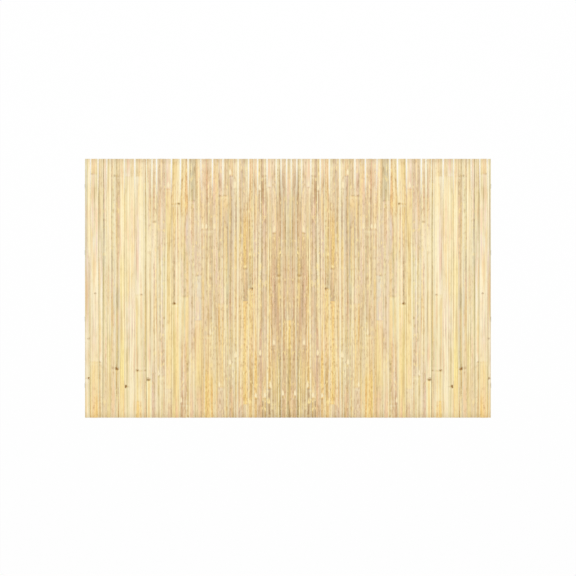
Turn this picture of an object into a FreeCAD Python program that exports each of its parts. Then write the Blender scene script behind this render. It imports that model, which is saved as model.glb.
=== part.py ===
import FreeCAD, Part
import os
from collections import Counter
from math import pi

import Sketcher
from FreeCAD import Placement, Rotation, Vector

# A length of bamboo slat fencing, opened out flat with its skin side up. Slats split from culms lie
# edge to edge, and galvanised wires run through holes drilled from edge to edge.
# X runs across the slats, Y along them towards the end where the tops spread, and Z up from the floor.

sizes = {
    "slat_length": (1000, "height of the fence once it stands"),
    "thin_width": (11.5, "slat widths at mid-length, one for each grade"),
    "narrow_width": (15.5, ""),
    "medium_width": (19.5, ""),
    "broad_width": (24.5, ""),
    "wide_width": (32, ""),
    "edge_thickness": (3.6, "planed back to skin, at a slat's edge"),
    "culm_radius": (34, "radius of the skin across a slat"),
    "slat_gap": (0.5, "between neighbours at mid-length"),
    "tip_taper": (1.2, "what an edge draws in from mid-length to the tip"),
    "spread_share": (0.075, "share of its width that a free edge draws in at the top"),
    "spread_run": (150, "length over which the tops spread apart"),
    "wire_diameter": (1.2, "galvanised wire"),
    "wire_clearance": (0.3, "around the wire in its hole"),
    "wire_margin": (115, "first and last wire from the slats' ends"),
    "wire_inner_bend": (0.6, "inside radius where a wire turns along the outer edge"),
    "wire_tail": (18, "length of wire turned along the outer edge"),
}

grades = {"t": "thin", "n": "narrow", "m": "medium", "b": "broad", "w": "wide"}

# One half of the mat from its outer edge inwards. A stroke marks a joint whose tops spread apart.
# The outermost slat is a group by itself. The other half is the mirror image, apart from that slat.
half_order = "m/w/nn/nnnm/mm/wt/m/m/wb/w/w/bb/tw/mm/mmn/mm/mn/nm/mn/m/m/"
middle_grade = "medium"
last_grade = "thin"

wire_names = ["wire_bottom", "wire_lower", "wire_upper", "wire_top"]
hole_sides = 6
wire_sides = 8

# A sketch names a line's or an arc's two ends, its own X axis and its origin by these numbers.
start_point, end_point = 1, 2
x_axis = -1
sketch_origin = (x_axis, start_point)

doc = FreeCAD.newDocument("bamboo_slat_fence")


def make_sheet():
    sheet = doc.addObject("Spreadsheet::Sheet", "dims")
    for row, (alias, (value, note)) in enumerate(sizes.items(), start=1):
        sheet.set(f"A{row}", alias)
        sheet.set(f"B{row}", str(value))
        sheet.setAlias(f"B{row}", alias)
        sheet.set(f"C{row}", note)
    doc.recompute()
    return sheet


def bind(obj, expressions):
    for path, text in expressions.items():
        obj.setExpression(path, text)
    return obj


def make_culm(grade):
    """The round skin that the slats of one grade are split from, lying along Y."""
    culm = doc.addObject("Part::Cylinder", f"culm_{grade}")
    culm.Placement = Placement(Vector(), Rotation(Vector(1, 0, 0), -90))
    half_width = f"dims.{grade}_width / 2"
    return bind(culm, {
        "Radius": "dims.culm_radius",
        "Height": "dims.slat_length + 2 * dims.culm_radius",
        "Placement.Base.y": "-dims.slat_length / 2 - dims.culm_radius",
        "Placement.Base.z": f"dims.edge_thickness - sqrt(dims.culm_radius ^ 2 - ({half_width}) ^ 2)",
    })


def make_wire_holes():
    """One drill through a slat for each wire, across the widest grade."""
    drills = []
    for index, name in enumerate(wire_names):
        drill = doc.addObject("Part::Prism", f"hole_{name}")
        drill.Polygon = hole_sides
        along_x = Rotation(Vector(0, 1, 0), 90)
        flats_up = Rotation(Vector(0, 0, 1), 180 / hole_sides)
        drill.Placement = Placement(Vector(), along_x * flats_up)
        drills.append(bind(drill, {
            "Circumradius": f"(dims.wire_diameter / 2 + dims.wire_clearance) / cos({180 / hole_sides})",
            "Height": "2 * dims.wide_width",
            "Placement.Base.x": "-dims.wide_width",
            "Placement.Base.y": wire_station(index),
            "Placement.Base.z": "dims.edge_thickness / 2",
        }))
    holes = doc.addObject("Part::Compound", "wire_holes")
    holes.Links = drills
    return holes


def wire_station(index):
    """Where a wire crosses the slats, evenly spaced between the two margins."""
    share = f"{index} / {len(wire_names) - 1}"
    return f"(dims.slat_length - 2 * dims.wire_margin) * ({share} - 0.5)"


def side_corners(side, grade, lean, free):
    """(side, distance from the slat's middle line, height along it) of one edge, bottom to top."""
    half_width = f"dims.{grade}_width / 2"
    end = "dims.slat_length / 2"
    shoulder = f"({end} - dims.spread_run)"
    corners = [(side, f"{half_width} + {lean} * dims.tip_taper", f"-{end}")]
    top = f"{half_width} - {lean} * dims.tip_taper"
    if free:
        corners.append((side, f"{half_width} - {lean} * dims.tip_taper * {shoulder} / ({end})", shoulder))
        top += f" - dims.spread_share * dims.{grade}_width"
    corners.append((side, top, end))
    return corners


def make_outline(number, grade, leans, frees):
    """The plan of a slat: both edges draw in or out along it, and a free edge more at the top."""
    left = side_corners(-1, grade, leans[0], frees[0])
    right = side_corners(1, grade, leans[1], frees[1])
    corners = left + right[::-1]
    sketch = doc.addObject("Sketcher::SketchObject", f"outline_{number:02d}")
    start = [corner_guess(grade, corner) for corner in corners]
    for index, point in enumerate(start):
        sketch.addGeometry(Part.LineSegment(point, start[(index + 1) % len(start)]), False)
    for index in range(len(start)):
        after = (index + 1) % len(start)
        sketch.addConstraint(Sketcher.Constraint("Coincident", index, end_point, after, start_point))
    for index, (side, across, along) in enumerate(corners):
        fix_corner(sketch, index, side, across, along, start[index])
    return sketch


def corner_guess(grade, corner):
    """A first place for a corner, which the sketch's constraints then set."""
    side, across, along = corner
    down = along.startswith("-")
    reach = sizes["slat_length"][0] / 2
    if "spread_run" in along:
        reach -= sizes["spread_run"][0]
    return Vector(side * sizes[f"{grade}_width"][0] / 2, -reach if down else reach, 0)


def fix_corner(sketch, index, side, across, along, guess):
    corner = (index, start_point)
    first, last = (corner, sketch_origin) if side < 0 else (sketch_origin, corner)
    name = f"across_{index}"
    sketch.addConstraint(Sketcher.Constraint("DistanceX", *first, *last, abs(guess.x)))
    sketch.renameConstraint(sketch.ConstraintCount - 1, name)
    sketch.setExpression(f"Constraints.{name}", across)
    down = along.startswith("-")
    first, last = (corner, sketch_origin) if down else (sketch_origin, corner)
    name = f"along_{index}"
    sketch.addConstraint(Sketcher.Constraint("DistanceY", *first, *last, abs(guess.y)))
    sketch.renameConstraint(sketch.ConstraintCount - 1, name)
    sketch.setExpression(f"Constraints.{name}", along.lstrip("-"))


def make_slat(number, grade, leans, frees, middle, culm, wire_holes):
    """A slat split from its culm to its outline, then drilled from edge to edge."""
    outline = make_outline(number, grade, leans, frees)
    blank = doc.addObject("Part::Extrusion", f"blank_{number:02d}")
    blank.Base = outline
    blank.DirMode = "Custom"
    blank.Dir = Vector(0, 0, 1)
    blank.Solid = True
    blank.setExpression("LengthFwd", f"dims.edge_thickness + dims.{grade}_width / 2")
    split = doc.addObject("Part::Common", f"split_{number:02d}")
    split.Base = blank
    split.Tool = culm
    slat = doc.addObject("Part::Cut", f"slat_{number:02d}")
    slat.Base = split
    slat.Tool = wire_holes
    slat.setExpression("Placement.Base.x", middle)
    return slat


def span(grade_list):
    """The room that these slats and the gap after each of them take up."""
    counts = Counter(grade_list)
    terms = [f"{count} * dims.{grade}_width" for grade, count in counts.items()]
    return " + ".join(terms + [f"{len(grade_list)} * dims.slat_gap"])


def beside_middle(inner_slats, grade):
    """From the middle slat's middle line to that of a slat of this grade, with these slats between."""
    return f"dims.{middle_grade}_width / 2 + dims.slat_gap + {span(inner_slats)} + dims.{grade}_width / 2"


def middle_place(order):
    """Where the middle slat lies, so that the two unlike halves end as far from the origin."""
    return f"(dims.{order[0]}_width - dims.{last_grade}_width) / 2"


def make_half(groups, order, culms, wire_holes):
    """The slats from the outer edge to the middle one, as a list of groups between spread joints."""
    made = []
    number = 0
    for group in groups:
        slats = []
        for place, letter in enumerate(group):
            grade = grades[letter]
            middle = f"{middle_place(order)} - ({beside_middle(order[number + 1:], grade)})"
            frees = (place == 0 and number > 0, place == len(group) - 1)
            turn = 1 if number % 2 else -1
            leans = (turn if number else 0, turn)
            number += 1
            slats.append(make_slat(number, grade, leans, frees, middle, culms[grade], wire_holes))
        made.append(slats)
    return made


def name_group(first, last):
    return f"slat_{first:02d}" if first == last else f"slats_{first:02d}_{last:02d}"


def make_nodes(groups, mirror_line, middle_slat, last_slat, total):
    """A node for each group of slats, and its mirror image on the other half of the mat."""
    first_slat = groups[0][0]
    first_slat.Label = name_group(1, 1)
    nodes = [first_slat]
    first = 2
    for slats in groups[1:]:
        last = first + len(slats) - 1
        node = slats[0]
        if len(slats) > 1:
            node = doc.addObject("Part::Compound", f"group_{first:02d}")
            node.Links = slats
        node.Label = name_group(first, last)
        twin = doc.addObject("Part::Mirroring", f"mirror_{first:02d}")
        twin.Source = node
        twin.Normal = Vector(1, 0, 0)
        twin.setExpression("Base.x", mirror_line)
        twin.Label = name_group(total + 1 - last, total + 1 - first)
        nodes += [node, twin]
        first = last + 1
    middle_slat.Label = name_group(first, first)
    last_slat.Label = name_group(total, total)
    return nodes + [middle_slat, last_slat]


def make_wire_path(outer_edge):
    """A wire's middle line: straight through the holes, its ends turned along the outer edges."""
    path = doc.addObject("Sketcher::SketchObject", "wire_path")
    reach = sizes["slat_length"][0]
    bend = sizes["wire_inner_bend"][0] + sizes["wire_diameter"][0] / 2
    tail = sizes["wire_tail"][0]
    left_circle = Part.Circle(Vector(bend - reach, bend, 0), Vector(0, 0, 1), bend)
    right_circle = Part.Circle(Vector(reach - bend, bend, 0), Vector(0, 0, 1), bend)
    left_tail = path.addGeometry(Part.LineSegment(Vector(-reach, tail, 0), Vector(-reach, bend, 0)))
    left_bend = path.addGeometry(Part.ArcOfCircle(left_circle, pi, 1.5 * pi))
    run = path.addGeometry(Part.LineSegment(Vector(bend - reach, 0, 0), Vector(reach - bend, 0, 0)))
    right_bend = path.addGeometry(Part.ArcOfCircle(right_circle, 1.5 * pi, 2 * pi))
    right_tail = path.addGeometry(Part.LineSegment(Vector(reach, bend, 0), Vector(reach, tail, 0)))
    pieces = [left_tail, left_bend, run, right_bend, right_tail]
    for before, after in zip(pieces, pieces[1:]):
        path.addConstraint(Sketcher.Constraint("Tangent", before, end_point, after, start_point))
    path.addConstraint(Sketcher.Constraint("Vertical", left_tail))
    path.addConstraint(Sketcher.Constraint("Vertical", right_tail))
    path.addConstraint(Sketcher.Constraint("PointOnObject", run, start_point, x_axis))
    path.addConstraint(Sketcher.Constraint("Horizontal", run))
    path.addConstraint(Sketcher.Constraint("Equal", left_bend, right_bend))
    left_tip, right_tip = (left_tail, start_point), (right_tail, end_point)
    fixed = {
        "bend": (Sketcher.Constraint("Radius", left_bend, bend),
                 "dims.wire_inner_bend + dims.wire_diameter / 2"),
        "left": (Sketcher.Constraint("DistanceX", *left_tip, *sketch_origin, reach), outer_edge),
        "right": (Sketcher.Constraint("DistanceX", *sketch_origin, *right_tip, reach), outer_edge),
        "left_tail": (Sketcher.Constraint("DistanceY", *sketch_origin, *left_tip, tail),
                      "dims.wire_tail"),
        "right_tail": (Sketcher.Constraint("DistanceY", *sketch_origin, *right_tip, tail),
                       "dims.wire_tail"),
    }
    for name, (constraint, text) in fixed.items():
        path.addConstraint(constraint)
        path.renameConstraint(path.ConstraintCount - 1, name)
        path.setExpression(f"Constraints.{name}", text)
    return path, len(pieces)


def make_wires(half_mat):
    """The wires, each swept along the same path at its own station."""
    outer_edge = f"{half_mat} + dims.wire_clearance + dims.wire_diameter / 2"
    path, edge_count = make_wire_path(outer_edge)
    section = doc.addObject("Part::RegularPolygon", "wire_section")
    section.Polygon = wire_sides
    section.Placement = Placement(Vector(), Rotation(Vector(1, 0, 0), 90))
    bind(section, {
        "Circumradius": "dims.wire_diameter / 2",
        "Placement.Base.x": f"-({outer_edge})",
        "Placement.Base.y": "dims.wire_tail",
    })
    wires = []
    for index, name in enumerate(wire_names):
        wire = doc.addObject("Part::Sweep", name)
        wire.Sections = [section]
        wire.Spine = (path, [f"Edge{number + 1}" for number in range(edge_count)])
        wire.Solid = True
        wires.append(bind(wire, {
            "Placement.Base.y": wire_station(index),
            "Placement.Base.z": "dims.edge_thickness / 2",
        }))
    return wires


def check_objects():
    for obj in doc.Objects:
        if "Invalid" in obj.State or "Error" in obj.State:
            raise RuntimeError(f"{obj.Name} failed: {obj.State}")


def write_nodes(nodes):
    for node in nodes:
        if node.Shape.isNull() or not node.Shape.isValid():
            raise RuntimeError(f"{node.Label} has no valid shape")
    os.makedirs("parts", exist_ok=True)
    for node in nodes:
        node.Shape.exportStep(f"parts/{node.Label}.step")


make_sheet()
wire_holes = make_wire_holes()
culms = {grade: make_culm(grade) for grade in grades.values()}
groups = [group for group in half_order.split("/") if group]
order = [grades[letter] for group in groups for letter in group]
half = make_half(groups, order, culms, wire_holes)
middle_number, total = len(order) + 1, 2 * len(order) + 1
middle_lean = 1 if len(order) % 2 else -1
middle_slat = make_slat(middle_number, middle_grade, (middle_lean, middle_lean), (True, True),
                        middle_place(order), culms[middle_grade], wire_holes)
last_place = f"{middle_place(order)} + {beside_middle(order[1:], last_grade)}"
last_slat = make_slat(total, last_grade, (-1, 0), (True, False), last_place, culms[last_grade], wire_holes)
nodes = make_nodes(half, middle_place(order), middle_slat, last_slat, total)
half_mat = f"(dims.{middle_grade}_width + {span(order)} + {span([last_grade] + order[1:])}) / 2"
nodes += make_wires(half_mat)
doc.recompute()
check_objects()
write_nodes(nodes)

solid_count = sum(len(node.Shape.Solids) for node in nodes)
outer_wire = doc.getObject("wire_section").Placement.Base.x
print(f"{len(nodes)} nodes, {solid_count} solids, outer wire at {outer_wire:.2f}")
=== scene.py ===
import math
import random
import re

import bmesh
import bpy
from mathutils import Matrix, Vector, noise


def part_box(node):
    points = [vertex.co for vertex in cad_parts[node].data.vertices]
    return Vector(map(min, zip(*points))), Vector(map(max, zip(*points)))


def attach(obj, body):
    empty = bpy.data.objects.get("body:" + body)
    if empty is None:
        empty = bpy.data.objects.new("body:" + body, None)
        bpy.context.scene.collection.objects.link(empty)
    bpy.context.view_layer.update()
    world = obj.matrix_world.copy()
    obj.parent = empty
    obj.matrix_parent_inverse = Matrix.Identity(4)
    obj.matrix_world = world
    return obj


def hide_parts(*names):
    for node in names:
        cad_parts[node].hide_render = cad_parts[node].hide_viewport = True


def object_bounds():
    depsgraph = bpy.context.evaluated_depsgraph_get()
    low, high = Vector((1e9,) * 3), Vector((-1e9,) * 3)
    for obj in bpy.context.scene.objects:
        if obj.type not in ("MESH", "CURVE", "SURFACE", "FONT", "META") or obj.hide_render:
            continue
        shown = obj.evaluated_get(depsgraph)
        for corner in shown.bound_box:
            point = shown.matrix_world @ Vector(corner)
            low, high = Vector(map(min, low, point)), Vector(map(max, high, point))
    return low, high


# Split-bamboo slat fencing, opened out flat and seen from straight above.
# Slats take their outline, crown and wire places from the frame. Metres throughout.

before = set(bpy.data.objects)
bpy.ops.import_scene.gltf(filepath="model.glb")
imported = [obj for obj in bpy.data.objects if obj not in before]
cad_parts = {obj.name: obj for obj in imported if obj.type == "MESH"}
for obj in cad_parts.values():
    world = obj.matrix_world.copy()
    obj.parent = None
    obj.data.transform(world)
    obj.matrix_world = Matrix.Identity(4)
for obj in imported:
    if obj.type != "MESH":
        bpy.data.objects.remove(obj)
cadLow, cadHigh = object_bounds()
mm = 0.001
touch = 0.01 * mm   # points nearer than this count as one
print("frame loaded:", len(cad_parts), "nodes")

slatNodes = sorted(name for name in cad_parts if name.startswith("slat"))
wireNodes = sorted(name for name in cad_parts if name.startswith("wire"))


def srgb(red, green, blue):
    # 0 to 255, as a colour picker shows it
    return [((c / 255 + 0.055) / 1.055) ** 2.4 for c in (red, green, blue)] + [1]


# Bamboo

bamboo = {
    "rimSteps": (0, 0.25 * mm, 0.6 * mm, 1.2 * mm),   # columns of faces at each edge
    "innerColumns": 7,
    "lineClear": 1.5,         # half widths of a split or streak that other columns keep off
    "stationStep": 25 * mm,   # between rows of faces
    "knotSteps": (-14, -10, -7, -5.2, -4, -2.8, -1.6, -0.5, 0.8, 2.2, 4, 6.5, 10, 15),   # rows at a node, mm
    "knotClear": 16 * mm,
    "endSteps": (0, 0.2 * mm, 0.6 * mm, 1.4 * mm),
    "endClear": 3 * mm,
    "slant": 0.05 * mm,       # an edge between two rows runs along by more than this
    "rimRound": (0.7 * mm, 0.42 * mm),   # width and depth of a long edge's rounding
    "endRound": (0.5 * mm, 0.5 * mm),
    "planing": 0.3 * mm,      # skin lies this far under the culm's round
    "underTop": 0.02 * mm,    # and at least this far under the frame's highest point
    "thickWander": 0.18 * mm,
    "edgeWander": 0.2 * mm,
    "edgeClosing": 0.12 * mm,
    "tipShrink": 0.25 * mm,
    "tipDraws": (-3.4, -1.8, 0),   # how many shrinks a free edge draws in at the head, under 0 for out
    "bleaching": (1.012, 1.018, 1.047, 1),   # by sun and rain, over the tones below
    "softChange": 60 * mm,
    "nodeChange": 1.5 * mm,
    "rimLine": (1.2 * mm, 2.5 * mm),   # a dark line of painted shade or a light one of painted highlight along an edge: full to here, then fading over this much
    "freeLight": (1.5, 0.6),  # painted highlight on an edge where it stands free beside a gap: how strong, and how soon
    "ridge": 0.3 * mm,
    "ridgeBend": 2.2,         # mm up and down, on its way across
    "scarDepth": 0.09 * mm,
    "scarReach": (6 * mm, 5 * mm),   # half the width and height of a dark scar
    "scarLine": (0.16, 0.4),  # strength of the faint line across a node, and its change
    "bloomLost": 0.5,         # of the pale bloom under a node, where the scar is
    "bloomOver": 0.5,         # strength of the bloom over a node
    "grooveReach": (3 * mm, 45 * mm),    # of the pale groove that runs up from a bud mark
    "grooveLight": 0.6,
    "samePlace": 1e-6,        # shares of the width nearer than this are one
    "splitWidth": 0.3 * mm,
    "splitTaper": 6,          # a split runs in and out over a sixth of its length
    "splitFull": 0.4 * mm,    # depth at which its painted shade is darkest
    "crackDepth": 0.9 * mm,
    "crackBlotch": (0.85, 1.5),   # strength of the stain along a crack, and its change
    "streakWidth": 1.6 * mm,  # half of a long streak
    "streakFade": 1.6,        # half widths at which it has faded out
    "streakEnd": 40 * mm,     # in which it fades in and out
    # heights, and how light slats are there and how far their colour goes over to ivory
    "headShade": [(-500 * mm, 1), (370 * mm, 1), (395 * mm, 0.965), (455 * mm, 0.965), (485 * mm, 1.03)],
    "headBleach": [(-500 * mm, 0), (455 * mm, 0), (485 * mm, 0.3)],
    "tipStain": 4 * mm,       # grey fibres at the sawn ends
    "holeRadius": 0.78 * mm,
    "holeReach": 1.7 * mm,    # of the length of wall around a hole
    "holeClear": 1 * mm,      # to the next row of faces, at the least
    "holeCuts": 2,            # in each of a hole's four sides, for twelve in all
    "holeFind": 0.3 * mm,     # a wall whose middle is this near a wire's height is drilled
    "holeInset": 0.25 * mm,
    "holeRoof": 0.08 * mm,    # what is left over a hole at the edge, at the least
}

# What differs from slat to slat, from and to. Heights, lengths and depths in mm
chances = {
    "splitPlace": (0.2, 0.8),
    "splitFoot": (-420, 100),
    "splitRun": (90, 380),
    "splitDepth": (0.2, 0.45),
    # how much the painted shade or highlight along each edge differs from slat to slat
    "rimTint": (-0.25, 0.25),
    "seed": (0, 50),
    "lightness": (-0.03, 0.03),
}
splitCounts = (1, 1, 2)

# Smooth noise: how often it changes across a slat and in a metre along it
waves = {"thickness": (1.5, 9), "ridge": (3, 40), "scarLine": (4, 90), "crack": (0, 55), "edge": 7}
edgeSlices = (3, 9)   # of that noise, for the left and the right edge

# A node in mm up from its middle: the place and reach of each of its marks
knotShape = {
    "ridge": (0, 4.5),
    "groove": (-4, 1.2),
    "line": (-1, 3),
    "bloomUnder": (-9, 4.5),
    "bloomOver": (8, 4),
}

# name: colour, and how rough and mottled that skin is
tones = {
    "milk": (srgb(253, 238, 208), 0.1),
    "chalk": (srgb(250, 239, 213), 0.1),
    "ivory": (srgb(250, 233, 196), 0.1),
    "cream": (srgb(248, 228, 180), 0.1),
    "lemon": (srgb(247, 222, 158), 0.15),
    "straw": (srgb(240, 216, 168), 0.22),
    "chaff": (srgb(237, 212, 174), 0.32),
    "oat": (srgb(234, 219, 187), 0.22),
    "sand": (srgb(230, 204, 158), 0.3),
    "honey": (srgb(240, 209, 151), 0.3),
    "fawn": (srgb(226, 198, 151), 0.35),
    "sage": (srgb(222, 206, 165), 0.2),
    "ash": (srgb(214, 202, 176), 0.2),
    "reed": (srgb(210, 192, 148), 0.3),
    "mauve": (srgb(214, 188, 151), 0.3),
    "butter": (srgb(251, 229, 166), 0.1),
    "canary": (srgb(252, 229, 150), 0.1),
    "amber": (srgb(232, 195, 127), 0.42),
    "umber": (srgb(215, 183, 133), 0.34),
    "ochre": (srgb(224, 184, 105), 0.44),
    "gilt": (srgb(249, 213, 132), 0.4),
    "brass": (srgb(245, 206, 122), 0.6),
    "syrup": (srgb(218, 180, 112), 0.5),
    "bark": (srgb(198, 166, 118), 0.46),
    "bronze": (srgb(206, 168, 92), 0.46),
    "tan": (srgb(190, 158, 101), 0.4),
    "cocoa": (srgb(172, 142, 90), 0.4),
}

# Each slat from the outer edge to the middle one, read from the foot up. The first word is for its two
# edges: d a dark line of painted shade along it, l a light one of painted highlight, n none. A number is
# the height in mm from the fence's centre at which the tone changes. The sign after it: ~ is a soft
# change, any other or none a bamboo node, with * for a dark scar, # for a large one, o for a faint one
# and ^ for a bud mark over it. The digit after the sign is its place across, in tenths.
slatRow = [
    "dl milk -348*8 ivory -194o8 ivory 60~ milk 270~ chalk",
    "nl gilt -430~ lemon -283 cream -200~ ivory -20o6 ivory 50~ chalk 200~ ivory 330~ cream 442o2 lemon",
    "dl straw -285o1 ivory -60~ chalk 120~ ivory 270~ cream 380~ straw 465~ cream",
    "dn straw 60~ oat 265o2 oat",
    "nn lemon -200~ cream -90~ straw 60~ cream 180~ ivory 270~ chalk",
    "nl straw -308o5 straw -210~ oat 60~ reed 435o8 fawn",
    "ln bronze -420~ syrup -350~ amber -310#4 reed 0~ straw 220~ sand 435o2 straw",
    "ln lemon -410~ canary -160~ butter 130~ cream 432 straw",
    "nn cream -379#1 cream -230~ ivory -40~ cream 432 milk",
    "ln ivory 0~ cream 60~ milk 200~ cream 432 straw",
    "ll gilt -436 lemon -317*3 cream -24o8 ivory 432 straw",
    "ld straw -317o6 straw 160~ sand",
    "ll canary -352#3 cream 90~ straw 200~ sand",
    "ln chaff -280~ straw -60~ chaff 257o6 fawn 460~ chaff",
    "ln straw -340^2 chaff -110~ oat 34 oat 130~ chaff",
    "ln straw -388 lemon 385^ ivory",
    "nl lemon -59*3 straw 100 sand 260~ umber 327*9 sand 430~ straw",
    "ln fawn -445^1 fawn -190~ cream -32o5 chaff 110~ oat 290~ amber 420~ syrup",
    "ln straw -250~ chaff 338o9 reed 485~ sage",
    "nn straw -390~ lemon -124^ oat 49o4 chaff 300~ sand 450~ straw",
    "nn honey 40~ straw 115 sand 227^1 honey 330~ chaff",
    "ln gilt -320~ honey -182^7 sand 227^2 fawn",
    "nn straw -330~ fawn -60~ sand 10~ chaff 227^3 chaff",
    "nn chaff -383^2 honey -230~ amber -59 sand 358o5 chaff",
    "nd umber -260~ fawn -40~ sage 130~ mauve 295~ honey 358o3 fawn",
    "ln fawn -298^3 fawn 130~ mauve 435^3 honey",
    "ll fawn -271^5 syrup -190~ amber -10~ sand 200~ mauve 330~ umber 385^2 fawn 470~ straw",
    "ln mauve -330~ sand -200~ honey -40~ fawn 180~ umber 290~ fawn 420~ mauve",
    "nn sand -448 brass -50 bark -5~ umber 76o3 syrup 160~ amber 290~ fawn 430~ sage",
    "ln amber -410~ syrup -260~ brass -1*7 tan 60~ ochre",
    "ln amber -425^7 brass -250~ honey 40~ chaff 400~ straw",
    "nn fawn -263^7 sand -100~ bark 20~ cocoa 150~ bark 220~ umber 377^6 sand",
    "nn bark -425^7 sand -320~ straw -200~ chaff 250~ mauve 350~ umber 435o7 sand",
    "nn bark -387^8 ochre 60~ honey 200~ straw 392^5 ivory 440~ chalk",
    "nn fawn -430~ umber -221^5 fawn 60~ umber 215^6 chaff",
    "nn cocoa -340~ tan -250~ umber 49*6 bark 190~ umber 310~ bark 370~ tan 430~ cocoa",
    "nn umber -418^3 umber -240~ bark -100~ umber 270~ mauve 440~ fawn",
    "nn cocoa -430~ tan -330~ bronze -235~ brass -124 fawn 100~ reed 260~ sage 340~ ash",
]
# 1 for a dark line and -1 for a light one: painted shade or painted highlight along an edge, the skin's own
# colour in a long streak
lineSigns = {"d": 1, "n": 0, "l": -1}
longCracks = {17: (0.32, -62, 105, 2.4), 35: (0.78, -150, 45, 1.5)}   # slat: place, from, to, half width, mm
# Dark and light streaks that stand out: a letter and a place, tenths across, then from and to in mm
longStreaks = {
    1: "d4 -120 500 d4 140 500 l7 150 500 d8 -500 120 d9 -500 120",
    2: "l2 -500 130 l8 -150 120",
    3: "l6 -150 120",
    4: "d2 -420 120",
    5: "l8 -200 380",
    6: "d4 -160 400",
    7: "d5 -430 380 l0 -150 500 l9 -430 120",
    8: "d1 150 430 l4 150 430 l0 -430 120",
    9: "l0 -150 120",
    10: "l1 -180 150",
    11: "l5 -430 120",
    12: "l3 -180 480 d7 -330 480",
    13: "l3 -170 420 d8 -180 130 l1 -430 -170",
    14: "l2 -300 150 l9 -470 -170",
    15: "l6 -180 130 l4 -470 -200 d9 -160 140",
    16: "l1 -430 150",
    17: "l0 -440 -100 d3 -430 120 l6 -160 420",
    18: "l0 -160 140 d6 -160 140",
    19: "l3 -330 430 d6 -160 380 l9 -160 430",
    20: "l0 -160 430",
    22: "d5 150 300",
    23: "l0 -170 130",
    26: "d5 -440 390 l9 -100 420",
    27: "d6 -420 400",
    28: "l0 -300 430 d5 160 390 l9 150 430",
    30: "d7 -440 380",
    34: "l3 -200 400",
    37: "l2 -200 400 d8 150 400",
    38: "d5 -400 -170 l3 -230 -110",
}


def looseSlats(nodeName):
    # corner points of each solid of a node, left to right
    bm = bmesh.new()
    bm.from_mesh(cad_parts[nodeName].data)
    bmesh.ops.remove_doubles(bm, verts=bm.verts, dist=touch)
    left = set(bm.verts)
    solids = []
    while left:
        found, reach = [], [left.pop()]
        while reach:
            vert = reach.pop()
            found.append(vert.co.copy())
            near = {edge.other_vert(vert) for edge in vert.link_edges} & left
            left -= near
            reach += near
        solids.append(found)
    bm.free()
    return sorted(solids, key=lambda points: min(p.x for p in points))


def readSlat(number, points):
    back = [p for p in points if p.z < touch]
    middle = (min(p.x for p in back) + max(p.x for p in back)) / 2
    slat = {
        "number": number,
        "middle": middle,
        "left": sorted((p.y, p.x) for p in back if p.x < middle),
        "right": sorted((p.y, p.x) for p in back if p.x > middle),
        "top": max(p.z for p in points),
    }
    slat["foot"], slat["head"] = slat["left"][0][0], slat["left"][-1][0]
    edge = max(p.z for p in points if p.y < slat["foot"] + mm and p.x < slat["left"][0][1] + touch)
    halfWidth, rise = middle - slat["left"][0][1], slat["top"] - edge
    slat["radius"] = (halfWidth ** 2 + rise ** 2) / (2 * rise)
    return slat


def alongOutline(corners, y):
    for (y0, x0), (y1, x1) in zip(corners, corners[1:]):
        if y <= y1:
            return x0 + (x1 - x0) * (y - y0) / (y1 - y0)
    return corners[-1][1]


def spreadShare(corners, y):
    # 0 where slats press on each other, rising to 1 at the head of an edge that stands free
    if len(corners) == 2:
        return 0
    return max(0, (y - corners[1][0]) / (corners[2][0] - corners[1][0]))


def readRow(text):
    # "nd straw -20*6 sand" into signs for the edges' painted shade and highlight, tones ["straw", "sand"] and
    # changes [(height, mark, place)]
    edges, *words = text.split()
    names, changes = [], []
    for word in words:
        if word in tones:
            names.append(word)
        else:
            height, mark, tenths = re.fullmatch(r"(-?\d+)([*#o^~]?)(\d?)", word).groups()
            changes.append((int(height) * mm, mark, int(tenths or 5) / 10))
    return [lineSigns[letter] for letter in edges], names, changes


def growth(slat):
    # what the slat has: tones, nodes, splits and edges, with the painted shade and highlight along the edges,
    # alike on the mirrored slat
    number = min(slat["number"], slatCount + 1 - slat["number"])
    rng = random.Random(100 + number)
    rims, names, changes = readRow(slatRow[number - 1])
    splits = [[rng.uniform(*chances[name]) for name in ("splitPlace", "splitFoot", "splitRun", "splitDepth")]
              for each in range(rng.choice(splitCounts))]
    splits = [(u, low * mm, (low + run) * mm, deep * mm) for u, low, run, deep in splits]
    cracks = []
    if number in longCracks:
        u, low, high, reach = longCracks[number]
        splits = [(u, low * mm, high * mm, bamboo["crackDepth"])]
        cracks = [(u, low * mm, high * mm, reach * mm)]
    words = longStreaks.get(number, "").split()
    streaks = [(int(word[1:]) / 10, int(low) * mm, int(high) * mm, lineSigns[word[0]])
               for word, low, high in zip(words[::3], words[1::3], words[2::3])]
    return {
        "number": number,
        "mirrored": slat["number"] > slatCount / 2 + 0.5,
        "streaks": streaks,
        "tones": names,
        "changes": changes,
        "knots": [change for change in changes if change[1] != "~"],
        "splits": sorted(splits),
        "cracks": cracks,
        "rims": [rim + rng.uniform(*chances["rimTint"]) for rim in rims],
        "tips": [rng.choice(bamboo["tipDraws"]), rng.choice(bamboo["tipDraws"])],
        "seed": rng.uniform(*chances["seed"]),
        "shift": rng.uniform(*chances["lightness"]),
    }


def acrossPlaces(slat, grown):
    width = slat["right"][0][1] - slat["left"][0][1]
    rim = [step / width for step in bamboo["rimSteps"]]
    inner = bamboo["innerColumns"]
    places = [rim[-1] + (1 - 2 * rim[-1]) * i / inner for i in range(1, inner)]
    lines = [(u, bamboo["streakWidth"] / width) for u, low, high, tint in grown["streaks"]]
    lines += [(u, bamboo["splitWidth"] / width) for u, low, high, deep in grown["splits"]]
    for u, reach in lines:
        places = [p for p in places if abs(p - u) > bamboo["lineClear"] * reach] + [u - reach, u, u + reach]
    places = [p for p in places if rim[-1] < p < 1 - rim[-1]]
    return sorted(places + rim + [1 - step for step in rim])


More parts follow.
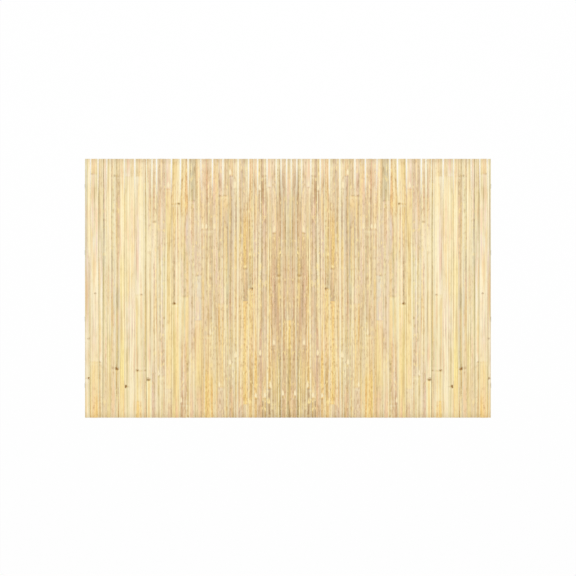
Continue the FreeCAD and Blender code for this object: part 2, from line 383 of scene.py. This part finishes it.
def lengthPlaces(slat, grown):
    foot, head = slat["foot"], slat["head"]
    steps = round((head - foot) / bamboo["stationStep"])
    knots = [y for y, mark, place in grown["knots"]]
    places = [foot + (head - foot) * i / steps for i in range(1, steps)]
    corners = {y for y, x in slat["left"][1:-1] + slat["right"][1:-1]}
    places = [y for y in places if all(abs(y - knot) > bamboo["knotClear"] for knot in knots)]
    places += [knot + step * mm for knot in knots for step in bamboo["knotSteps"]]
    places = [y for y in places if all(abs(y - corner) > mm for corner in corners)] + list(corners)
    reach = bamboo["holeReach"]
    for wireY in wireHeights:
        places = [y for y in places if abs(y - wireY) > reach + bamboo["holeClear"]]
        places += [wireY - reach, wireY + reach]
    places = [y for y in places if foot + bamboo["endClear"] < y < head - bamboo["endClear"]]
    places += [foot + step for step in bamboo["endSteps"]] + [head - step for step in bamboo["endSteps"]]
    return sorted(places)


def hump(value, middle, reach):
    # 1 at the middle, falling off smoothly on either side
    return math.exp(-((value - middle) / reach) ** 2)


def waver(grown, u, y, name):
    across, along = waves[name]
    return noise.noise(Vector((u * across, y * along, grown["seed"])))


def rounding(distance, width, depth):
    # how far a rounded edge has dropped at this distance from it
    if distance >= width:
        return 0
    return depth * (1 - math.sqrt(max(1 - (1 - distance / width) ** 2, 0)))


def skinHeight(slat, grown, x, y, u, left, right):
    crown = slat["radius"] - math.sqrt(slat["radius"] ** 2 - (x - slat["middle"]) ** 2)
    z = slat["top"] - crown - bamboo["planing"] + bamboo["thickWander"] * waver(grown, u, y, "thickness")
    for knot, mark, place in grown["knots"]:
        up = (y - knot) / mm + bamboo["ridgeBend"] * waver(grown, u, knot, "ridge")
        z += (bamboo["ridge"] * hump(up, *knotShape["ridge"])
              - bamboo["scarDepth"] * hump(up, *knotShape["groove"]))
    z = min(z, cadHigh.z - bamboo["underTop"])
    z -= rounding(min(x - left, right - x), *bamboo["rimRound"])
    z -= rounding(min(y - slat["foot"], slat["head"] - y), *bamboo["endRound"])
    return z


def splitDepth(grown, u, y):
    deepest = 0
    for place, low, high, deep in grown["splits"]:
        if abs(u - place) < bamboo["samePlace"] and low < y < high:
            taper = bamboo["splitTaper"]
            share = min(1, taper * (y - low) / (high - low), taper * (high - y) / (high - low))
            deepest = max(deepest, deep * share)
    return deepest


def streakAt(grown, u, y, width):
    # above 0 in a dark streak, under 0 in a light one
    total = 0
    for place, low, high, tint in grown["streaks"]:
        near = max(0, 1 - abs(u - place) * width / (bamboo["streakFade"] * bamboo["streakWidth"]))
        total += tint * near * min(max(min(y - low, high - y) / bamboo["streakEnd"] + 0.5, 0), 1)
    return total


def toneAt(grown, y):
    # colour and roughness of the length of culm at this height
    colour, rough = tones[grown["tones"][0]]
    colour = Vector(colour)
    for (height, mark, place), name in zip(grown["changes"], grown["tones"][1:]):
        blend = bamboo["softChange"] if mark == "~" else bamboo["nodeChange"]
        share = min(max((y - height) / blend + 0.5, 0), 1)
        colour = colour.lerp(Vector(tones[name][0]), share)
        rough += (tones[name][1] - rough) * share
    colour = colour.lerp(Vector(tones["ivory"][0]), alongOutline(bamboo["headBleach"], y))
    lift = grown["shift"] + alongOutline(bamboo["headShade"], y)
    return [c * bleach * lift for c, bleach in zip(colour, bamboo["bleaching"])], rough


# sign in the slat row: shares of the dark scar, of the pale bloom and of the faint line, and size
scarMarks = {
    "*": (1.5, 0.4, 1, 1),
    "#": (1.8, 0.5, 1, 1.4),
    "o": (0.7, 0.3, 0.6, 1),
    "^": (0.35, 0.35, 0.2, 1),
    "": (0, 0.2, 0.7, 1),
}


def scarAt(slat, grown, y, u):
    # above 0 in a dark scar, under 0 on the pale bloom beside it
    width = slat["right"][0][1] - slat["left"][0][1]
    scar = 0
    for knot, mark, place in grown["knots"]:
        up = (y - knot) / mm
        dark, bloom, line, size = scarMarks[mark]
        reach, rise = (size * step for step in bamboo["scarReach"])
        spot = hump((u - place) * width, 0, reach)
        steady, change = bamboo["scarLine"]
        band = steady + change * waver(grown, u, knot, "scarLine")
        scar += dark * spot * hump(up * mm, 0, rise) + line * band * hump(up, *knotShape["line"])
        under = hump(up, *knotShape["bloomUnder"]) * (1 - bamboo["bloomLost"] * spot)
        scar -= bloom * (under + bamboo["bloomOver"] * hump(up, *knotShape["bloomOver"]))
        if mark == "^" and y > knot:
            reach, run = bamboo["grooveReach"]
            fading = max(0, 1 - (y - knot) / run)
            scar -= bamboo["grooveLight"] * hump((u - place) * width, 0, reach) * fading
    for place, low, high, reach in grown["cracks"]:
        if low < y < high:
            steady, change = bamboo["crackBlotch"]
            blotch = steady + change * waver(grown, 0, y, "crack")
            scar += max(blotch, 0) * hump((u - place) * width, 0, reach)
    return scar


def edgesAt(slat, grown, y):
    # where the two edges run at this height, and how free they stand there
    left, right = alongOutline(slat["left"], y), alongOutline(slat["right"], y)
    free = [spreadShare(slat["left"], y), spreadShare(slat["right"], y)]
    tips = grown["tips"][::-1] if grown["mirrored"] else grown["tips"]
    drawn = [bamboo["tipShrink"] * share * tip - bamboo["edgeClosing"] * (1 - share)
             for share, tip in zip(free, tips)]
    wander = [bamboo["edgeWander"] * noise.noise(Vector((y * waves["edge"], grown["seed"], level)))
              for level in edgeSlices]
    return left + (wander[0] + drawn[0]), right - (wander[1] + drawn[1]), free


def paintSkin(vert, layers, slat, grown, u, y, width, free):
    # what the materials read at this point
    full, fade = bamboo["rimLine"]
    # where an edge stands free beside a gap it gets a painted highlight
    light, rise = bamboo["freeLight"]
    # painted shade or painted highlight along each edge, fading in from the edge
    rims = [(rim - light * share ** rise) * min(max(1 - (distance - full) / fade, 0), 1)
            for rim, share, distance in zip(grown["rims"], free, (u * width, (1 - u) * width))]
    tip = min(y - slat["foot"], slat["head"] - y)
    vert[layers["across"]] = u * width
    vert[layers["tone"]], vert[layers["speckle"]] = toneAt(grown, y)
    vert[layers["grain"]] = grown["seed"]
    vert[layers["scar"]] = scarAt(slat, grown, y, u)
    vert[layers["tip"]] = max(0, 1 - tip / bamboo["tipStain"])
    # the rim attribute carries the painted edge shade and highlight together with the skin's own long streaks
    vert[layers["rim"]] = sum(rims) + streakAt(grown, u, y, width)
    vert[layers["split"]] = splitDepth(grown, u, y) / bamboo["splitFull"]


def addBack(bm, layers):
    # flat back and upright walls under the skin, which is all of the mesh so far
    skin = bm.faces[:]
    made = bmesh.ops.extrude_face_region(bm, geom=skin)["geom"]
    back = {item for item in made if isinstance(item, bmesh.types.BMFace)}
    for vert in (item for item in made if isinstance(item, bmesh.types.BMVert)):
        vert.co.z = 0
        vert[layers["rim"]] = vert[layers["scar"]] = vert[layers["split"]] = 0
    for face in skin:
        face.smooth = True
    bare = [face for face in bm.faces if not face.smooth]
    for face in bare:
        face.material_index = 1
    lengthwise = [edge for edge in bm.edges if all(face in back for face in edge.link_faces)
                  and abs(edge.verts[0].co.y - edge.verts[1].co.y) > bamboo["slant"]]
    walls = [face for face in bare if face not in back]
    bmesh.ops.dissolve_edges(bm, edges=lengthwise, use_verts=True)
    return walls


def slatBody(bm, slat, grown, layers):
    # u is the place across, 0 to 1, and runs the other way on the mirrored slat
    across, along = acrossPlaces(slat, grown), lengthPlaces(slat, grown)
    columns, rows = len(across) - 1, len(along) - 1
    for vert in bmesh.ops.create_grid(bm, x_segments=columns, y_segments=rows, size=1)["verts"]:
        u = across[round((vert.co.x + 1) / 2 * columns)]
        y = along[round((vert.co.y + 1) / 2 * rows)]
        left, right, free = edgesAt(slat, grown, y)
        if grown["mirrored"]:
            x = right - (right - left) * u
            free.reverse()
        else:
            x = left + (right - left) * u
        z = skinHeight(slat, grown, x, y, u, left, right) - splitDepth(grown, u, y)
        vert.co = (x, y, z)
        paintSkin(vert, layers, slat, grown, u, y, right - left, free)
    walls = addBack(bm, layers)
    for wireY in wireHeights:
        beside = [wall for wall in walls if wall.is_valid
                  and abs(wall.calc_center_median().y - wireY) < bamboo["holeFind"]]
        drillHole(bm, beside, wireY)


def drillHole(bm, walls, wireY):
    # from edge to edge, through the two side walls around the wire. Two corners of a wall lie on the
    # floor, so the third lowest is the lower one at the skin
    roofs = [sorted(vert.co.z for vert in wall.verts)[2] - bamboo["holeRoof"] for wall in walls]
    bmesh.ops.inset_individual(bm, faces=walls, thickness=bamboo["holeInset"])
    rim = [edge for wall in walls for edge in wall.edges]
    bmesh.ops.bisect_edges(bm, edges=rim, cuts=bamboo["holeCuts"])
    loops = []
    for wall, roof in zip(walls, roofs):
        ring = sorted(wall.verts, key=lambda vert: math.atan2(vert.co.z - wireZ, vert.co.y - wireY))
        first = ring.index(max(ring, key=lambda vert: vert.co.y + vert.co.z))
        for step, vert in enumerate(ring[first:] + ring[:first]):
            turn = math.pi / 4 + 2 * math.pi * step / len(ring)
            vert.co.y = wireY + bamboo["holeRadius"] * math.cos(turn)
            vert.co.z = min(wireZ + bamboo["holeRadius"] * math.sin(turn), roof)
        loops += list(wall.edges)
    bmesh.ops.delete(bm, geom=walls, context="FACES_ONLY")
    bored = bmesh.ops.bridge_loops(bm, edges=loops)["faces"]
    for face in bored:
        face.material_index = 1


budLook = {
    "subdivisions": 3,
    "halfWidth": 4.6 * mm,
    "length": 24 * mm,
    "rise": 0.5 * mm,
    "sizes": (0.8, 1.1),
    "foot": 3 * mm,           # over the node
    "point": (1.5, 0.7),      # how early the outline draws in, and how sharply
    "thinning": 0.6,
    "rimClear": 1 * mm,
    "dark": srgb(244, 220, 166),
    "light": srgb(254, 241, 206),
    "fine": (900, 30, 41, 0.3, 2.4, 3),
    "roughness": 0.6,
    "bump": (0.4, 0.2 * mm),
}


def budMark(bm, slat, grown, layers, knot, across):
    # pale pointed scale that stays over a node: blunt foot, drawn-out tip
    rng = random.Random(round(knot * 10000) + grown["number"])
    ball = bmesh.ops.create_icosphere(bm, subdivisions=budLook["subdivisions"], radius=1)["verts"]
    left, right = alongOutline(slat["left"], knot), alongOutline(slat["right"], knot)
    size = rng.uniform(*budLook["sizes"])
    halfWidth = size * budLook["halfWidth"]
    early, sharp = budLook["point"]
    if grown["mirrored"]:
        across = 1 - across
    lowest, highest = left + halfWidth + budLook["rimClear"], right - halfWidth - budLook["rimClear"]
    middle = min(max(left + (right - left) * across, lowest), highest)
    for vert in ball:
        side, along, up = vert.co
        tip = (along + 1) / 2
        x = middle + side * halfWidth * min(early * (1 - tip) ** sharp, 1)
        y = knot + budLook["foot"] + tip * size * budLook["length"]
        level = slat["top"] - slat["radius"] + math.sqrt(slat["radius"] ** 2 - (x - slat["middle"]) ** 2)
        z = level - bamboo["planing"] + budLook["rise"] * up * (1 - budLook["thinning"] * tip)
        vert.co = (x, y, min(z, cadHigh.z - bamboo["underTop"]))
        vert[layers["tone"]] = tones["ivory"][0]
        vert[layers["grain"]] = grown["seed"]
        vert[layers["across"]] = x - middle
    for face in {face for vert in ball for face in vert.link_faces}:
        face.material_index = 2
        face.smooth = True


def newLayers(bm):
    layers = {"tone": bm.verts.layers.float_color.new("tone")}
    for name in ("grain", "across", "scar", "rim", "split", "tip", "speckle"):
        layers[name] = bm.verts.layers.float.new(name)
    return layers


def newPiece(nodeName, finish, mesh):
    piece = bpy.data.objects.new(nodeName + finish, mesh)
    bpy.context.scene.collection.objects.link(piece)
    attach(piece, "root")
    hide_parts(nodeName)
    return piece


def slatPiece(nodeName, group, materials):
    bm = bmesh.new()
    newLayers(bm)   # the same as on each slat that is joined into it
    for slat in group:
        grown = growth(slat)
        part = bmesh.new()
        layers = newLayers(part)
        slatBody(part, slat, grown, layers)
        bmesh.ops.recalc_face_normals(part, faces=part.faces)
        for knot, mark, place in grown["knots"]:
            if mark == "^":
                budMark(part, slat, grown, layers, knot, place)
        mesh = bpy.data.meshes.new("part")
        part.to_mesh(mesh)
        part.free()
        bm.from_mesh(mesh)
        bpy.data.meshes.remove(mesh)
    mesh = bpy.data.meshes.new(nodeName + "_bamboo")
    bm.to_mesh(mesh)
    bm.free()
    for material in materials:
        mesh.materials.append(material)
    return newPiece(nodeName, "_bamboo", mesh)


# Shader building

def linkInto(tree, value, socket):
    if isinstance(value, bpy.types.NodeSocket):
        tree.links.new(value, socket)
    else:
        socket.default_value = value


def mathNode(tree, operation, *values, clamp=False):
    node = tree.nodes.new("ShaderNodeMath")
    node.operation = operation
    node.use_clamp = clamp
    for value, socket in zip(values, node.inputs):
        linkInto(tree, value, socket)
    return node.outputs["Value"]


def mixColour(tree, share, first, second, blend="MIX"):
    # inputs 6 and 7 of a Mix node are its two colours, and output 2 is the mixed one
    node = tree.nodes.new("ShaderNodeMix")
    node.data_type = "RGBA"
    node.blend_type = blend
    linkInto(tree, share, node.inputs["Factor"])
    linkInto(tree, first, node.inputs[6])
    linkInto(tree, second, node.inputs[7])
    return node.outputs[2]


def attribute(tree, name, output="Fac"):
    node = tree.nodes.new("ShaderNodeAttribute")
    node.attribute_name = name
    return node.outputs[output]


fibreLook = {
    "depth": 0.7,             # how fast streaks change down a wall, against across
    "roughness": 0.55,
    "sockets": {"Across": 150, "Along": 2, "Offset": 0, "Threshold": 0.5, "Contrast": 4, "Detail": 2},
}


def fibreGroup():
    # streaks along a slat: 0 where the noise is under the threshold, rising to 1
    group = bpy.data.node_groups.new("bambooFibres", "ShaderNodeTree")
    for name, value in fibreLook["sockets"].items():
        socket = group.interface.new_socket(name, in_out="INPUT", socket_type="NodeSocketFloat")
        socket.default_value = value
    group.interface.new_socket("Streak", in_out="OUTPUT", socket_type="NodeSocketFloat")
    start, end = group.nodes.new("NodeGroupInput"), group.nodes.new("NodeGroupOutput")
    place = group.nodes.new("ShaderNodeSeparateXYZ")
    coords = group.nodes.new("ShaderNodeTexCoord")
    group.links.new(coords.outputs["Object"], place.inputs[0])
    side = mathNode(group, "MULTIPLY_ADD", place.outputs["Z"], fibreLook["depth"], attribute(group, "across"))
    vector = group.nodes.new("ShaderNodeCombineXYZ")
    across = mathNode(group, "MULTIPLY", side, start.outputs["Across"])
    along = mathNode(group, "MULTIPLY", place.outputs["Y"], start.outputs["Along"])
    offset = mathNode(group, "ADD", attribute(group, "grain"), start.outputs["Offset"])
    for value, socket in zip((across, along, offset), vector.inputs):
        group.links.new(value, socket)
    streaks = group.nodes.new("ShaderNodeTexNoise")
    streaks.inputs["Scale"].default_value = 1
    streaks.inputs["Roughness"].default_value = fibreLook["roughness"]
    group.links.new(vector.outputs[0], streaks.inputs["Vector"])
    group.links.new(start.outputs["Detail"], streaks.inputs["Detail"])
    over = mathNode(group, "SUBTRACT", streaks.outputs["Fac"], start.outputs["Threshold"])
    sharp = mathNode(group, "MULTIPLY", over, start.outputs["Contrast"], clamp=True)
    group.links.new(sharp, end.inputs["Streak"])
    return group


def fibres(tree, across, along, offset, threshold, contrast, detail=2):
    node = tree.nodes.new("ShaderNodeGroup")
    node.node_tree = fibreNodes
    for name, value in zip(fibreLook["sockets"], (across, along, offset, threshold, contrast, detail)):
        node.inputs[name].default_value = value
    return node.outputs["Streak"]


def newMaterial(name, roughness, metallic=0.0):
    material = bpy.data.materials.new(name)
    material.use_nodes = True
    shader = material.node_tree.nodes["Principled BSDF"]
    shader.inputs["Roughness"].default_value = roughness
    shader.inputs["Metallic"].default_value = metallic
    return material, material.node_tree, shader


def addBump(tree, shader, height, strength, distance):
    bump = tree.nodes.new("ShaderNodeBump")
    bump.inputs["Strength"].default_value = strength
    bump.inputs["Distance"].default_value = distance
    tree.links.new(height, bump.inputs["Height"])
    tree.links.new(bump.outputs["Normal"], shader.inputs["Normal"])


skinStreaks = {
    # blend, colour, streaks a metre across and along, offset, threshold, contrast, detail, highest share
    "cloud": ("MULTIPLY", (0.9, 0.85, 0.74, 1), 40, 15, 43, 0.5, 7, 2, 0.7),
    "gold": ("MIX", srgb(252, 220, 136), 75, 4, 21, 0.54, 8, 0.6, 0.5),
    "peach": ("MIX", srgb(246, 206, 160), 60, 6, 51, 0.55, 8, 0.6, 0.55),
    "rose": ("MULTIPLY", (0.95, 0.86, 0.95, 1), 95, 3.5, 9, 0.54, 8, 0.6, 0.85),
    "khaki": ("MULTIPLY", (0.8, 0.82, 0.71, 1), 150, 1.6, 7, 0.53, 9, 1, 0.85),
    "brown": ("MULTIPLY", (0.74, 0.68, 0.6, 1), 300, 4.5, 3, 0.57, 8, 2, 0.95),
    "pale": ("MIX", srgb(255, 241, 194), 150, 1.8, 0, 0.53, 9, 1, 0.8),
    "white": ("MIX", srgb(255, 246, 212), 330, 2.4, 13, 0.58, 9, 2, 0.85),
    "vein": ("MULTIPLY", (0.78, 0.74, 0.66, 1), 900, 7, 17, 0.55, 4, 2, 0.5),
}
calmStreaks = ("khaki", "brown", "pale", "white", "vein")   # fainter where the skin is rough
skinFlecks = {
    # as above, laid on as much as that length of skin is rough
    "fleck": ("MULTIPLY", (0.84, 0.77, 0.68, 1), 125, 48, 61, 0.55, 9, 3, 3.2),
    "glint": ("MIX", srgb(254, 230, 160), 135, 42, 67, 0.57, 9, 3, 2),
    "mottle": ("MULTIPLY", (0.72, 0.62, 0.5, 1), 240, 64, 27, 0.52, 6, 3, 1.6),
}
skinStains = {
    # the attribute each follows, a factor (under 0 it follows the values under 0), blend and colour
    # painted shade and painted highlight along the edges, through the rim attribute, which also carries the
    # skin's own dark and light streaks
    "darkEdge": ("rim", 0.8, "MULTIPLY", (0.74, 0.73, 0.58, 1)),
    "lightEdge": ("rim", -0.65, "MIX", srgb(255, 245, 208)),
    "scar": ("scar", 0.95, "MIX", srgb(146, 102, 34)),
    "bloom": ("scar", -0.8, "MIX", srgb(255, 245, 208)),
    # a split: painted shade that deepens with its depth, in the dark brown of the split itself
    "crack": ("split", 0.75, "MIX", srgb(118, 74, 42)),
    "tip": ("tip", 0.6, "MULTIPLY", (0.62, 0.58, 0.5, 1)),
}
skinLook = {
    "plainRoughness": 0.45,
    "roughness": (0.2, 0.36),      # the fibres' share, and the least
    "shine": 0.3,
    "calming": (-0.8, 1.15),
    "torn": (300, 190, 3, 0.4, 3),      # fibres that break up a scar
    "tearing": 0.3,
    "scarEdge": -0.06,
    "middling": (420, 3.5, 7, 0.3, 2.5),
    "fine": (1500, 14, 13, 0.25, 2, 3),
    "fineShare": 0.5,
    "bump": (0.35, 0.25 * mm),     # strength and distance
}


def skinMaterial():
    material, tree, shader = newMaterial("bambooSkin", skinLook["plainRoughness"])
    shader.inputs["Specular IOR Level"].default_value = skinLook["shine"]
    colour = attribute(tree, "tone", "Color")
    rough = attribute(tree, "speckle")
    calm = mathNode(tree, "MULTIPLY_ADD", rough, *skinLook["calming"], clamp=True)
    for name, (blend, tint, *places, most) in skinStreaks.items():
        streak = mathNode(tree, "MULTIPLY", fibres(tree, *places), most)
        if name in calmStreaks:
            streak = mathNode(tree, "MULTIPLY", streak, calm)
        colour = mixColour(tree, streak, colour, tint, blend)
    for blend, tint, *places, most in skinFlecks.values():
        fleck = mathNode(tree, "MULTIPLY", fibres(tree, *places), most)
        colour = mixColour(tree, mathNode(tree, "MULTIPLY", fleck, rough, clamp=True), colour, tint, blend)
    torn = mathNode(tree, "ADD", fibres(tree, *skinLook["torn"]), skinLook["tearing"])
    for name, (source, factor, blend, tint) in skinStains.items():
        value = attribute(tree, source)
        if name == "scar":
            value = mathNode(tree, "MULTIPLY", value, torn)
            share = mathNode(tree, "MULTIPLY_ADD", value, factor, skinLook["scarEdge"], clamp=True)
        else:
            share = mathNode(tree, "MULTIPLY", value, factor, clamp=True)
        colour = mixColour(tree, share, colour, tint, blend)
    tree.links.new(colour, shader.inputs["Base Color"])
    middling = fibres(tree, *skinLook["middling"])
    roughness = mathNode(tree, "MULTIPLY_ADD", middling, *skinLook["roughness"])
    tree.links.new(roughness, shader.inputs["Roughness"])
    fine = fibres(tree, *skinLook["fine"])
    relief = mathNode(tree, "MULTIPLY_ADD", fine, skinLook["fineShare"], middling)
    addBump(tree, shader, relief, *skinLook["bump"])
    return material


splitLook = {
    "flesh": srgb(240, 220, 176),
    "fibre": srgb(206, 176, 124),
    "pith": srgb(250, 238, 206),
    "pithShare": 0.55,
    "fibreShare": (-1.0, 0.55),    # times the fine fibres, and added
    "toneShare": 0.35,
    "coarse": (500, 6, 31, 0.3, 2.5),
    "fine": (1600, 20, 37, 0.3, 2.4, 3),
    "roughness": 0.7,
    "bump": (0.6, 0.3 * mm),
}


def splitMaterial():
    # edges, back, ends and holes: bare fibres, no skin
    material, tree, shader = newMaterial("splitBamboo", splitLook["roughness"])
    coarse = fibres(tree, *splitLook["coarse"])
    fine = fibres(tree, *splitLook["fine"])
    share = mathNode(tree, "MULTIPLY", coarse, splitLook["pithShare"])
    colour = mixColour(tree, share, splitLook["flesh"], splitLook["pith"])
    share = mathNode(tree, "MULTIPLY_ADD", fine, *splitLook["fibreShare"], clamp=True)
    colour = mixColour(tree, share, colour, splitLook["fibre"])
    colour = mixColour(tree, splitLook["toneShare"], colour, attribute(tree, "tone", "Color"), "MULTIPLY")
    tree.links.new(colour, shader.inputs["Base Color"])
    addBump(tree, shader, fine, *splitLook["bump"])
    return material


def budMaterial():
    material, tree, shader = newMaterial("budScale", budLook["roughness"])
    fine = fibres(tree, *budLook["fine"])
    colour = mixColour(tree, fine, budLook["dark"], budLook["light"])
    tree.links.new(colour, shader.inputs["Base Color"])
    addBump(tree, shader, fine, *budLook["bump"])
    return material


# Wires

wireLook = {
    "sides": 12,
    "bendSteps": 6,
    "bendRadius": 1.2 * mm,
    "play": 0.001 * mm,       # to the frame's edge
    "join": 0.001 * mm,
    "dark": srgb(150, 152, 154),
    "light": srgb(206, 208, 210),
    "metallic": 0.9,
    "spangle": 900,           # spots a metre
    "spangleDetail": 3,
    "plainRoughness": 0.42,
    "roughness": (0.3, 0.28),      # the spots' share, and the least
    "bump": (0.3, 0.05 * mm),
}
quarterTurn = Matrix.Rotation(math.pi / 2, 3, "X")


def zincMaterial():
    material, tree, shader = newMaterial("galvanisedWire", wireLook["plainRoughness"], wireLook["metallic"])
    coords = tree.nodes.new("ShaderNodeTexCoord")
    spots = tree.nodes.new("ShaderNodeTexNoise")
    spots.inputs["Scale"].default_value = wireLook["spangle"]
    spots.inputs["Detail"].default_value = wireLook["spangleDetail"]
    tree.links.new(coords.outputs["Object"], spots.inputs["Vector"])
    spangle = spots.outputs["Fac"]
    tree.links.new(mixColour(tree, spangle, wireLook["dark"], wireLook["light"]), shader.inputs["Base Color"])
    roughness = mathNode(tree, "MULTIPLY_ADD", spangle, *wireLook["roughness"])
    tree.links.new(roughness, shader.inputs["Roughness"])
    addBump(tree, shader, spangle, *wireLook["bump"])
    return material


def wirePiece(nodeName, material):
    low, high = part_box(nodeName)
    radius = (high.z - low.z) / 2
    bend = wireLook["bendRadius"]
    level, runY = low.z + radius, low.y + radius
    tailX = high.x - radius - wireLook["play"]
    bm = bmesh.new()
    ring = bmesh.ops.create_circle(bm, cap_ends=True, segments=wireLook["sides"], radius=radius)["verts"]
    bmesh.ops.rotate(bm, verts=ring, cent=(0, 0, 0), matrix=quarterTurn)
    bmesh.ops.translate(bm, verts=ring, vec=(-tailX, high.y, level))
    end = bm.faces[:]
    end = pulled(bm, end, (0, runY + bend - high.y, 0))
    end = turned(bm, end, (-tailX + bend, runY + bend, level))
    end = pulled(bm, end, (2 * (tailX - bend), 0, 0))
    end = turned(bm, end, (tailX - bend, runY + bend, level))
    pulled(bm, end, (0, high.y - runY - bend, 0))
    bmesh.ops.remove_doubles(bm, verts=bm.verts, dist=wireLook["join"])
    # at a bend a face stays inside, with three faces at each of its edges
    inner = [face for face in bm.faces if all(len(edge.link_faces) == 3 for edge in face.edges)]
    bmesh.ops.delete(bm, geom=inner, context="FACES_ONLY")
    bmesh.ops.recalc_face_normals(bm, faces=bm.faces)
    mesh = bpy.data.meshes.new(nodeName + "_zinc")
    bm.to_mesh(mesh)
    bm.free()
    mesh.shade_smooth()
    mesh.materials.append(material)
    return newPiece(nodeName, "_zinc", mesh)


def pulled(bm, faces, reach):
    made = bmesh.ops.extrude_face_region(bm, geom=faces)["geom"]
    bmesh.ops.translate(bm, verts=[v for v in made if isinstance(v, bmesh.types.BMVert)], vec=reach)
    return [f for f in made if isinstance(f, bmesh.types.BMFace)]


def turned(bm, faces, centre):
    made = bmesh.ops.spin(bm, geom=faces, cent=centre, axis=(0, 0, 1), dvec=(0, 0, 0), angle=math.pi / 2,
                          steps=wireLook["bendSteps"], use_merge=False, use_duplicate=False)["geom_last"]
    return [f for f in made if isinstance(f, bmesh.types.BMFace)]


# Building

slats = {}
for nodeName in slatNodes:
    first = int(nodeName.split("_")[1])
    slats[nodeName] = [readSlat(first + i, points) for i, points in enumerate(looseSlats(nodeName))]
slatCount = sum(len(group) for group in slats.values())
wireBoxes = [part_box(name) for name in wireNodes]
wireZ = (wireBoxes[0][0].z + wireBoxes[0][1].z) / 2
wireHeights = [low.y + (high.z - low.z) / 2 for low, high in wireBoxes]
print("slats read:", slatCount)

fibreNodes = fibreGroup()
slatMaterials = [skinMaterial(), splitMaterial(), budMaterial()]
zinc = zincMaterial()
print("materials ready")

pieces = [slatPiece(name, group, slatMaterials) for name, group in slats.items()]
pieces += [wirePiece(name, zinc) for name in wireNodes]
triangles = [sum(len(p.vertices) - 2 for p in piece.data.polygons) for piece in pieces]
print("pieces:", len(pieces), "triangles:", sum(triangles), "most in one:", max(triangles))

# Floor, light and camera

studio = {
    "worldStrength": 0.6,
    "keyPower": 225,
    "keySize": (4, 4),
    "keyPlace": (0, 1.2, 7),
    "floorColour": (0.97, 0.97, 0.97, 1),
    "floorLift": 0.86,        # share of plain white, where the camera sees the floor
    "floorHalf": 12,
    "floorDrop": 0.3 * mm,
    "lens": 85,
    "sensor": 36,
    "sight": 100,             # how far the camera sees
    "frameWidth": 2.2238,     # of the photo, at the height of the slats
    "photoShift": (0.0003, 0.001),
}


def seenByCamera(tree):
    # 1 for what the camera sees, straight or in a reflection, and 0 for what only lights other things
    path = tree.nodes.new("ShaderNodeLightPath")
    return mathNode(tree, "ADD", path.outputs["Is Camera Ray"], path.outputs["Is Glossy Ray"], clamp=True)


def buildFloor():
    bm = bmesh.new()
    bmesh.ops.create_grid(bm, x_segments=1, y_segments=1, size=studio["floorHalf"])
    bmesh.ops.translate(bm, verts=bm.verts, vec=(0, 0, -studio["floorDrop"]))
    mesh = bpy.data.meshes.new("floor")
    bm.to_mesh(mesh)
    bm.free()
    floor = bpy.data.objects.new("floor", mesh)
    bpy.context.scene.collection.objects.link(floor)
    material, tree, shader = newMaterial("paleFloor", 1.0)
    shader.inputs["Base Color"].default_value = studio["floorColour"]
    shader.inputs["Specular IOR Level"].default_value = 0
    glow = tree.nodes.new("ShaderNodeEmission")
    mix = tree.nodes.new("ShaderNodeMixShader")
    tree.links.new(mathNode(tree, "MULTIPLY", seenByCamera(tree), studio["floorLift"]), mix.inputs[0])
    tree.links.new(shader.outputs[0], mix.inputs[1])
    tree.links.new(glow.outputs[0], mix.inputs[2])
    tree.links.new(mix.outputs[0], tree.nodes["Material Output"].inputs["Surface"])
    mesh.materials.append(material)


def buildLight():
    world = bpy.data.worlds.new("studio")
    world.use_nodes = True
    bpy.context.scene.world = world
    tree = world.node_tree
    dim = studio["worldStrength"]
    strength = mathNode(tree, "MULTIPLY_ADD", seenByCamera(tree), 1 - dim, dim)
    tree.links.new(strength, tree.nodes["Background"].inputs["Strength"])
    tree.nodes["Background"].inputs["Color"].default_value = (1, 1, 1, 1)
    light = bpy.data.lights.new("softbox", "AREA")
    light.shape = "RECTANGLE"
    light.size, light.size_y = studio["keySize"]
    light.energy = studio["keyPower"]
    lamp = bpy.data.objects.new("softbox", light)
    lamp.location = studio["keyPlace"]
    lamp.rotation_euler = (-Vector(studio["keyPlace"])).to_track_quat("-Z", "Y").to_euler()
    lamp.visible_camera = False
    bpy.context.scene.collection.objects.link(lamp)


def buildCamera():
    data = bpy.data.cameras.new("overhead")
    data.lens, data.sensor_width = studio["lens"], studio["sensor"]
    data.clip_end = studio["sight"]
    camera = bpy.data.objects.new("overhead", data)
    height = studio["frameWidth"] * data.lens / data.sensor_width
    camera.location = (*studio["photoShift"], cadHigh.z + height)
    bpy.context.scene.collection.objects.link(camera)
    bpy.context.scene.camera = camera


buildFloor()
buildLight()
buildCamera()
bpy.context.scene.view_settings.view_transform = "Standard"
print("stage ready")
